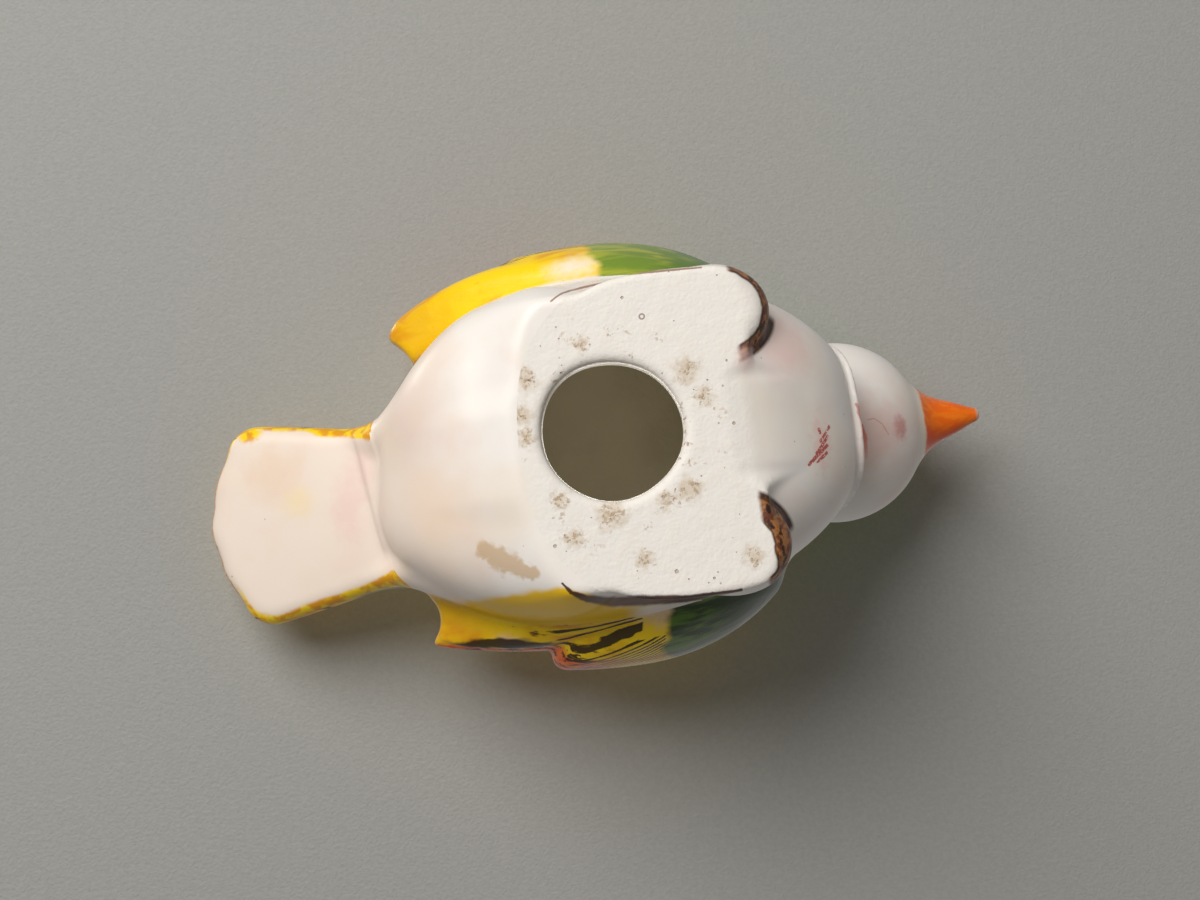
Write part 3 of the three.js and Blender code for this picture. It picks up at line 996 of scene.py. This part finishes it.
def beak_paint(paint, colour):
    """Orange over the beak, laid on past the casting line, with a soft yellowish edge; its left side is
    painted a deeper orange as painted shade.
    """
    strokes = paint.noise(0.9, 3, (0.25, 1, 1), 3.0)
    # The beak's left side, away from the light, is painted deeper orange: painted shade.
    side = paint.step(paint.shaken(paint.y, 0.8, 3.0), 0.2, 3.2)
    orange = paint.mix(paint.step(strokes, 0.40, 0.62), ORANGE, tint(0.98, 0.49, 0.07))
    orange = paint.mix(side * 0.7, orange, DEEP_ORANGE)
    tip = paint.step(paint.x, BEAK_HIGH[0] - 0.9, BEAK_HIGH[0] - 0.2)
    orange = paint.mix(tip * 0.6, orange, CREAM)
    slant = paint.y * -0.22 + paint.field("beak")
    ragged = paint.shaken(slant, 0.22, 1.6, 8.0, detail=3.0)
    near_beak = paint.step(paint.field("beak_off"), 3.4, 1.4)
    halo = paint.step(ragged, BEAK_PAINT - 3.2, BEAK_PAINT) * near_beak
    colour = paint.mix(halo * 0.5, colour, tint(0.99, 0.9, 0.7))
    cone = paint.shaken(paint.field("beak_off"), 0.25, 1.6, 15.0, detail=3.0)
    base = paint.step(ragged, BEAK_PAINT - 0.3, BEAK_PAINT + 0.4) * paint.step(cone, 2.0, 1.4)
    return paint.mix(base, colour, orange), strokes * base * 0.06


def beak_material():
    paint = Paint("beak_glaze")
    colour, relief = beak_paint(paint, WHITE)
    return glaze(paint, colour, 0.0, relief, rough=0.10)


TAIL_GAP = TAIL_LOW[0] + 13.0  # where the yellow on the tail's right edge thins out


def tail_material():
    paint = Paint("tail_glaze")
    # The whole tail is tinted a darker peach than the body: partly its own tint, partly painted shade.
    colour = paint.mix(0.70, clay(paint, 0.4), tint(0.945, 0.865, 0.79))
    cloud = paint.spot((-46.5, -3.0, 24.6), 3.6, 2.6, 1.6)
    colour = paint.mix(cloud * 0.55, colour, PEACH)
    smear = paint.spot((-43.4, 1.3, 23.4), 2.0, 1.6, 1.0)
    colour = paint.mix(smear * 0.5, colour, tint(0.96, 0.86, 0.62))
    for centre in ((-33.9, -2.0, 19.4), (-36.4, 3.0, 21.0)):
        colour = paint.mix(paint.spot(centre, 2.2, 1.8, 1.2, (1, 0.6, 1)) * 0.42, colour, PINK)
    inward = paint.field("tail_edge") * -1.0
    across = paint.field("tail_across")
    upward = paint.field("tail_up")
    ragged = paint.shaken(inward, 0.3, 2.4, 14.0, (0.5, 1, 1))
    end = paint.step(paint.field("tail_along") - (TAIL_LENGTH - 5.0), 0.0, 2.5)
    flank = 1.0 - end
    left = paint.step(across, -1.0, 1.0)
    root = paint.step(paint.x, TAIL_GAP + 1.5, TAIL_GAP + 5.5)
    right_reach = root * 0.7 + 0.6
    reach = (1.15 - right_reach) * left + right_reach
    band = paint.step(ragged - reach, 0.35, -0.25) * flank
    dab = paint.spot((TAIL_LOW[0] + 7.5, TAIL_LOW[1] + 1.6, 26.1), 1.2, 0.5, 0.4, (0.7, 1, 0.5))
    band = paint.most(band, dab)
    edge_colour = paint.mix(paint.step(paint.noise(1.6, 2, shift=2), 0.4, 0.6), OCHRE, YELLOW)
    colour = paint.mix(band, colour, edge_colour)
    rim = paint.step(paint.shaken(inward, 0.2, 1.5, 5.0), 0.75, 0.35)
    patches = paint.step(paint.noise(1.8, 3, shift=9), 0.35, 0.65)
    rim_colour = paint.mix(patches, tint(0.72, 0.42, 0.16), OCHRE)
    colour = paint.mix(rim * end * 0.85, colour, rim_colour)
    top = paint.step(abs(across) * 0.07 + upward, 0.2, 0.9)
    top_colour = paint.mix(paint.step(paint.noise(1.2, 3, (0.2, 1, 1), 27.0), 0.42, 0.6), YELLOW, OCHRE)
    barbs = abs(paint.math("SINE", across * (math.pi / 2.6)))
    barbs = paint.shaken(barbs, 0.12, 1.5, 41.0, (0.3, 1, 1), 3.0)
    top_colour = paint.mix(paint.step(barbs, 0.22, 0.10), top_colour, DARK)
    green = paint.step(paint.shaken(paint.field("tail_along"), 2.0, 3.0, 7.0, (0.4, 1, 1)), 10.0, 4.0)
    top_colour = paint.mix(green, top_colour, GREEN)
    colour = paint.mix(top, colour, top_colour)
    colour, marks = specks(paint, colour)
    return glaze(paint, colour, marks)


STROKE_PIVOT = (22.0, 6.5)  # where the dark strokes of a wing would meet, ahead of and below the shoulder
BUNDLE = 6.5  # degrees taken by a bundle of four strokes
FIRST_BUNDLE = 19.25


def feather_strokes(paint):
    """Dark brush strokes in bundles of four, wet and round at the front, dry and ragged behind."""
    dx = STROKE_PIVOT[0] - paint.x
    dz = paint.z - STROKE_PIVOT[1]
    reach = paint.math("SQRT", dx * dx + dz * dz)
    angle = paint.math("ARCTAN2", dz, dx) * (180 / math.pi)
    angle = paint.shaken(angle, 0.25, 6.0, 2.0)
    middle = paint.math("PINGPONG", angle - FIRST_BUNDLE, BUNDLE / 2)
    aside = 1.0 - middle * (2 / BUNDLE)
    front = aside * aside * 2.6 + 28.2 + angle * -0.33
    behind = reach - front
    wave = abs(paint.math("SINE", angle * (4 * math.pi / BUNDLE)))
    wet = paint.step(behind, 7.0, 0.5)
    hairs = paint.noise(0.8, 3, (0.10, 1, 1), 15.0)
    width = paint.least(wet * 0.2 + 0.5 + (hairs - 0.5) * 0.8, 0.8)
    ink = paint.step(wave - width, 0.08, -0.08)
    dry = paint.step(hairs * -18.0 + behind, 7.0, 3.5)
    start = paint.step(angle, FIRST_BUNDLE - 0.3, FIRST_BUNDLE + 0.2)
    return ink * dry * start * paint.step(behind, 0.0, 0.3)


def yellow_border(paint):
    """1 where the wings' yellow covers; it runs a little over the joint onto the body, more on the left."""
    left = paint.step(paint.y, -1.0, 1.0)
    depth = left * 0.9 + 0.6 - paint.field("wing")
    return paint.step(paint.shaken(depth, 0.5, 3.0, 6.0, (0.4, 1, 1)), 0.1, 1.6)


WING_THIN_PAINT_AND_HIGHLIGHT = {  # thin places in the paint of each wing, and a painted highlight on the right wing: middle, size and colour
    1: (((0.5, 23.0, 12.2), 2.2, WHITE), ((6.6, 23.8, 13.4), 1.9, PEACH), ((-15.5, 25.0, 22.0), 1.2, PINK)),
    # The right wing's white patch is a painted highlight of the glaze.
    -1: (((-1.0, -26.4, 14.5), 2.0, WHITE),),
}


def wing_material(side, green_start, stroke_z, fire_z):
    """Yellow flight feathers, a green shoulder, an orange outer edge and dark strokes; the left wing's greens
    are painted darker as painted shade.
    """
    paint = Paint("wing_paint_left" if side > 0 else "wing_paint_right")
    brush = paint.noise(1.5, 3, (0.14, 1, 1), 4.0)
    fields = paint.noise(8.0, 2, (0.5, 1, 1), 10.0)
    yellow = paint.mix(paint.step(brush, 0.36, 0.64), OCHRE, YELLOW)
    yellow = paint.mix(paint.step(fields, 0.42, 0.60), yellow, YELLOW)
    tip = paint.step(paint.shaken(paint.x, 3.0, 3.0, 2.0), -15.0, -24.0)
    yellow = paint.mix(tip * 0.5, yellow, OCHRE)
    colour = paint.mix(yellow_border(paint), clay(paint, 0.3), yellow)
    # Thin paint on both wings, and on the right wing a painted highlight.
    for centre, size, shade in WING_THIN_PAINT_AND_HIGHLIGHT[side]:
        thin_paint_and_highlight = paint.spot(centre, size, 0.8 * size, 0.7, (0.5, 1, 1))
        colour = paint.mix(thin_paint_and_highlight * 0.75, colour, shade)
    sloped = (paint.x + 16.0) * 0.27 + paint.z
    height = paint.shaken(sloped, 0.8, 2.5, 3.0, (0.35, 1, 1))
    outer = paint.step(paint.shaken(abs(paint.y), 0.3, 2.0, 7.0), 23.5, 24.2)
    rear = paint.step(paint.x, 1.0, -7.0) * outer
    fire = paint.mix(paint.step(brush, 0.42, 0.58), ORANGE, DEEP_ORANGE)
    colour = paint.mix(paint.step(height, fire_z, fire_z + 1.2) * rear * 0.9, colour, fire)
    rise = paint.math("POWER", abs(paint.z - 19.0), 1.6)
    curve = rise * -0.1 + paint.x
    ragged = paint.shaken(curve, 0.9, 3.0, 18.0, (0.5, 1, 1), 3.0)
    shoulder = paint.step(ragged, green_start - 0.5, green_start + 0.8)
    # The left wing's greens, and their deepening towards the front, are darker than the right wing's: painted
    # shade, as that wing lies on the side away from the light.
    light, deep = (GREEN, DARK_GREEN) if side > 0 else (LIME, LEAF)
    leaf = paint.mix(paint.step(brush, 0.40, 0.62), deep, light)
    deepening = paint.shaken(paint.x, 3.0, 2.5, 5.0, (0.3, 1, 1))
    deep_start = green_start + (5.0 if side > 0 else 9.0)
    darker = paint.step(deepening, deep_start, deep_start + 6.0)
    leaf = paint.mix(darker, leaf, DARK_GREEN if side > 0 else GREEN)
    colour = paint.mix(shoulder, colour, leaf)
    drawn = paint.step(paint.z, stroke_z, stroke_z + 1.5) * paint.step(shoulder, 0.9, 0.4)
    strokes = feather_strokes(paint) * drawn
    quills = paint.step(paint.noise(0.9, 3, (0.06, 1, 1), 37.0), 0.545, 0.575)
    edge = paint.step(abs(height - (fire_z - 0.3)), 0.9, 0.5)
    above = paint.step(height, fire_z, fire_z + 0.5) * quills
    whole = paint.step(paint.x, -8.0, -11.0)
    edge = edge * paint.most(whole, quills)
    trim = paint.most(edge, above) * rear
    strokes = paint.most(strokes, trim)
    colour = paint.mix(strokes * 0.94, colour, DARK)
    colour, marks = specks(paint, colour)
    relief = strokes * 0.04 + brush * 0.08
    return glaze(paint, colour, marks, relief, rough=0.20)


def lining_material():
    """The dry unglazed inside, painted a dim olive grey that stands in for the shade in the closed hollow:
    painted shade.
    """
    paint = Paint("lining_clay_painted_shade")
    cloud = paint.noise(9.0, 3, shift=3)
    # Olive greys much darker than the clay itself: painted shade of the hollow.
    colour = paint.mix(paint.step(cloud, 0.3, 0.7), LINING_PAINTED_SHADE, tint(0.57, 0.53, 0.43))
    height = paint.noise(1.1, 4, shift=5) * 0.12
    return paint.finish(colour, cloud * 0.2 + 0.6, height)


# ---- Assembly ----
WALLS = {
    "foot_pad": 2.4,
    "beak": 0.6,
    "head_shell": 1.4,
    "tail": 1.0,
    "wing_left": 1.0,
    "wing_right": 1.0,
    "body_shell": 1.4,
}


def paint_fields(points):
    """The distances that the paint follows, in millimetres, at each point of the surface."""
    x, y, z = points.T
    along, across, upward = tail_frame(x, y, z)
    wings = np.minimum(wing_field(x, y, z, 1), wing_field(x, y, z, -1))
    return {
        "seam": seam_offset(x, z),
        "eye": eye_distance(x, y, z),
        "toe": toe_field(x, y, np.full_like(z, TOE_LIFT)),
        "vent": vent_field(x, y),
        "wing": wings - body_field(x, y, z),
        "tail_along": along,
        "tail_across": across,
        "tail_up": upward,
        "tail_edge": tail_outline(along, across),
        "beak": -beak_region(x, y, z),
        "beak_off": beak_field(x, y, z),
    }


def add_piece(node, name, points, quads, fields, wall, material):
    """One casting's mesh, on the fixed body, in place of its CAD node."""
    piece = make_mesh(name, points, quads, fields)
    thicken(piece, wall)
    piece.data.materials.append(material)
    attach(piece, "root")
    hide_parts(node)


def build_shells():
    low = np.array([TAIL_LOW[0], -WING_HALF, 0.0]) - GRID_MARGIN
    high = np.array([BEAK_HIGH[0], WING_HALF, HEAD_HIGH[2]]) + GRID_MARGIN
    points, quads = extract(bird_field, low, high, CELL)
    labels = label_faces(points, quads)
    points = slide_seams(points, quads, labels)
    fields = paint_fields(points)
    materials = {
        "foot_pad": foot_material(),
        "beak": beak_material(),
        "head_shell": head_material(),
        "tail": tail_material(),
        "wing_left": wing_material(1, green_start=5.0, stroke_z=10.0, fire_z=22.6),
        "wing_right": wing_material(-1, green_start=1.5, stroke_z=20.0, fire_z=25.5),
        "body_shell": body_material(),
    }
    centres = points[quads].mean(1)
    # The vent is cut as a pocket. Its end above the foot is left out, which opens it to the hollow.
    in_vent = (vent_field(centres[:, 0], centres[:, 1]) < 0.6) & (centres[:, 2] < PAD_THICKNESS + 5)
    blind = in_vent & (labels == NODES.index("body_shell"))
    for number, node in enumerate(NODES):
        faces = quads[(labels == number) & ~blind]
        add_piece(node, "shell_" + node, points, faces, fields, WALLS[node], materials[node])


def build_lining():
    """The inside of the body, open where the vent comes in."""
    low = np.array([BODY_LOW[0], -BODY_WIDTH, 0.0])
    high = np.array([BODY_HIGH[0] + 2, BODY_WIDTH, BODY_HIGH[2]])
    points, quads = extract(lining_field, low, high, LINING_CELL)
    centres = points[quads].mean(1)
    open_vent = (vent_field(centres[:, 0], centres[:, 1]) < 1.2) & (centres[:, 2] < PAD_THICKNESS + 2)
    quads = quads[~open_vent][:, ::-1]
    add_piece("body_shell", "body_lining", points, quads, {}, 0.6, lining_material())


# ---- Studio ----
def one_sided(name, colour, tile):
    """Paper that is seen from its front only, so that neither sheet hides the bird from the other side."""
    paint = Paint(name)
    tone = paint.step(paint.noise(tile, 4), 0.3, 0.7)
    shade = tuple(0.94 * c for c in colour[:3]) + (1.0,)
    paint.finish(paint.mix(tone, shade, colour), 0.9, paint.noise(0.45, 2, shift=1) * 0.12)
    back = paint.node("NewGeometry")["Backfacing"]
    clear = paint.node("BsdfTransparent")[0]
    seen = paint.node("MixShader", {0: back, 1: paint.shader.outputs[0], 2: clear})[0]
    paint.put(seen, paint.nodes["Material Output"].inputs["Surface"])
    return paint.material


def add_sheet(name, corners, faces, material):
    mesh = bpy.data.meshes.new(name)
    mesh.from_pydata(corners, [], faces)
    mesh.materials.append(material)
    sheet = bpy.data.objects.new(name, mesh)
    bpy.context.scene.collection.objects.link(sheet)
    sheet.visible_shadow = False
    sheet.visible_diffuse = False
    sheet.visible_glossy = False
    sheet.visible_transmission = False
    sheet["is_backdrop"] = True


PAPER = tint(0.64, 0.64, 0.625)
TABLE_HALF = 0.135  # metres, as the studio's other sizes
TABLE_GAP = 0.3  # millimetres between the bird and the table
SLAT = 0.0005
SLAT_LEAN = 0.1  # fall of each slat to the front, over its length
TABLE_LEAN = 0.06  # rise of the table to the bird's left, so that its edge stays out of sight from the right


FLOOR_RADIUS = 2.5
FLOOR_DEPTH = 0.0003


def add_table():
    """The table that the bird's back and crown lie on, seen from under the foot.

    It is laid in narrow slats that lean the other way, so a camera level with the bird sees past it.
    """
    crown = np.array([HEAD_CENTRE[0], HEAD_HIGH[2] + TABLE_GAP]) * MM
    back = np.array([BODY_X, BODY_Z + BODY_TOP + TABLE_GAP]) * MM
    rise = (crown[1] - back[1]) / (crown[0] - back[0])
    corners, faces = [], []
    for number in range(int(2 * TABLE_HALF / SLAT)):
        x = -TABLE_HALF + number * SLAT
        z = crown[1] + rise * (x - crown[0])
        first = len(corners)
        for dx, dy in ((-0.3, -1), (-0.3, 1), (1.3, 1), (1.3, -1)):
            drop = SLAT_LEAN * dx * SLAT - TABLE_LEAN * dy * TABLE_HALF
            corners.append((x + dx * SLAT, dy * TABLE_HALF, z - drop))
        faces.append((first, first + 1, first + 2, first + 3))
    add_sheet("table", corners, faces, one_sided("table_paper", PAPER, 0.7))


def add_floor():
    """The floor under the foot, seen from above."""
    turns = np.linspace(0, 2 * math.pi, 65)[:-1]
    rim = [(FLOOR_RADIUS * math.cos(a), FLOOR_RADIUS * math.sin(a), -FLOOR_DEPTH) for a in turns]
    add_sheet("floor", rim, [tuple(range(len(rim)))], one_sided("floor_paper", PAPER, 0.7))


def add_light(name, place, size, energy, colour, mirrored=True):
    """A round soft light that points at the bird. The glaze shows no highlight of one that isn't mirrored."""
    data = bpy.data.lights.new(name, "AREA")
    data.shape = "DISK"
    data.size = size
    data.energy = energy
    data.color = colour
    light = bpy.data.objects.new(name, data)
    bpy.context.scene.collection.objects.link(light)
    light.location = place
    aim = Vector((0, 0, 0.025)) - Vector(place)
    light.rotation_euler = aim.to_track_quat("-Z", "Y").to_euler()
    light.visible_glossy = mirrored


def add_inner_glow():
    """Stands for the daylight that soaks through the thin walls into the hollow body."""
    data = bpy.data.lights.new("inner_glow", "POINT")
    data.energy = 0.0042
    data.color = (1.0, 0.955, 0.86)
    data.shadow_soft_size = 0.004
    glow = bpy.data.objects.new("inner_glow", data)
    bpy.context.scene.collection.objects.link(glow)
    glow.location = (BODY_X * MM, 0, BODY_Z * MM)
    glow.visible_camera = False


def add_world():
    """A plain soft room, brighter overhead than underfoot."""
    world = bpy.data.worlds.new("studio")
    bpy.context.scene.world = world
    world.use_nodes = True
    nodes, links = world.node_tree.nodes, world.node_tree.links
    split = nodes.new("ShaderNodeSeparateXYZ")
    links.new(nodes.new("ShaderNodeTexCoord").outputs["Generated"], split.inputs[0])
    ramp = nodes.new("ShaderNodeMapRange")
    links.new(split.outputs["Z"], ramp.inputs["Value"])
    for name, number in (("From Min", -0.4), ("From Max", 0.8), ("To Min", 0.17), ("To Max", 0.36)):
        ramp.inputs[name].default_value = number
    background = nodes["Background"]
    background.inputs["Color"].default_value = (1.0, 0.975, 0.945, 1)
    links.new(ramp.outputs["Result"], background.inputs["Strength"])


CAMERA_ROLL = math.radians(7.5)
CAMERA_TILT = math.radians(5)
CAMERA_DISTANCE = 0.3
CAMERA_LENS = 68.2


def add_camera():
    """Looks straight up at the foot, a little from one side, with the beak to the right and a little up."""
    data = bpy.data.cameras.new("camera")
    data.lens = CAMERA_LENS
    data.clip_start = 0.01
    camera = bpy.data.objects.new("camera", data)
    bpy.context.scene.collection.objects.link(camera)
    forward = Vector((0, -math.sin(CAMERA_TILT), math.cos(CAMERA_TILT)))
    level = Vector((0, -math.cos(CAMERA_TILT), -math.sin(CAMERA_TILT)))
    right = math.cos(CAMERA_ROLL) * Vector((1, 0, 0)) - math.sin(CAMERA_ROLL) * level
    above = math.sin(CAMERA_ROLL) * Vector((1, 0, 0)) + math.cos(CAMERA_ROLL) * level
    matrix = Matrix((right, above, -forward)).transposed().to_4x4()
    matrix.translation = Vector((0, 0.0015, 0)) - CAMERA_DISTANCE * forward
    camera.matrix_world = matrix
    bpy.context.scene.camera = camera


def write_sizes():
    visual_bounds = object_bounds()
    boxes = {"cad": cad_bounds, "visual": visual_bounds}
    sizes = {name: [list(corner) for corner in box] for name, box in boxes.items()}


build_shells()
build_lining()
add_table()
add_floor()
add_camera()
add_world()
add_light("key", (-0.21, -0.34, -0.54), 0.50, 4.7, (1.0, 0.975, 0.945))
add_light("overhead", (-0.07, -0.09, 0.62), 0.25, 1.3, (1.0, 0.98, 0.95), mirrored=False)
add_light("window", (-0.50, -0.38, 0.42), 0.18, 0.45, (1.0, 0.99, 0.97))
add_inner_glow()
bpy.context.scene.view_settings.view_transform = "Standard"
write_sizes()
